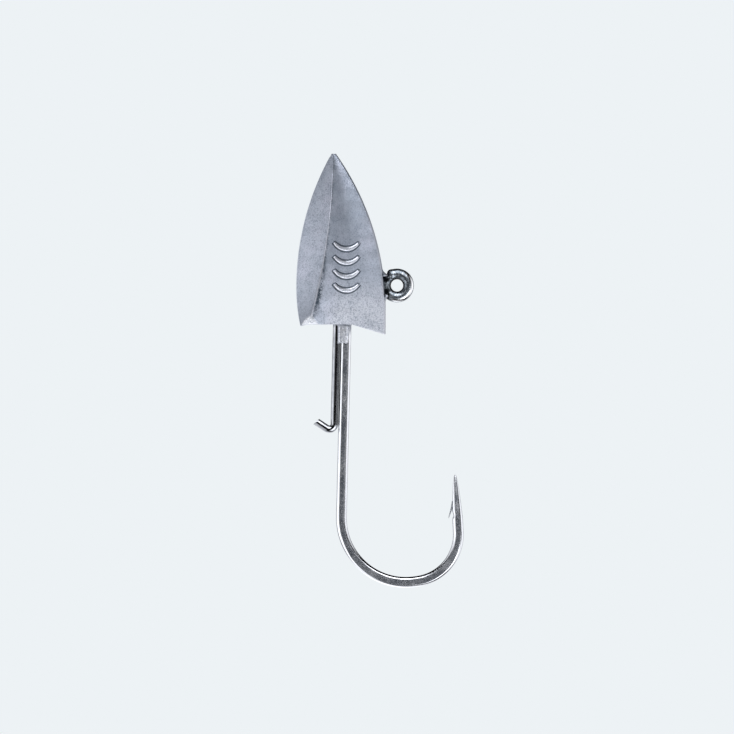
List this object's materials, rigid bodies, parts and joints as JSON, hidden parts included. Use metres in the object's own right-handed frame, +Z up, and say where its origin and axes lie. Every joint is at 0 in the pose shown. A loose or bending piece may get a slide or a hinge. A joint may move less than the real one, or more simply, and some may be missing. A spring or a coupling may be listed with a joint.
{
  "type": "jig head",
  "caption": "Arrow-shaped cast lead head on a forged hook with a ring eye at its back edge and a bent wire beside the shank that keeps a soft bait in place.",
  "frame": {"origin": "centre of the line eye, the ring at the back edge of the head", "axes": "+Z up to the nose of the head with the hook hanging below, +X from the head towards the line eye and the side of the hook's point, +Y along the bore of the eye, square to the plane of the hook"},
  "size_m": [0.0168, 0.0062, 0.0434],
  "materials": {
    "cast_lead": "as-cast lead, bright grey and slightly dulled",
    "hook_steel": "tinned high-carbon steel wire, satin on the forged flats and bright on the rounds",
    "keeper_wire": "polished spring steel wire"
  },
  "bodies": {
    "root": {"lead_head": "cast_lead", "hook": "hook_steel", "bait_keeper": "keeper_wire"}
  },
  "joints": []
}
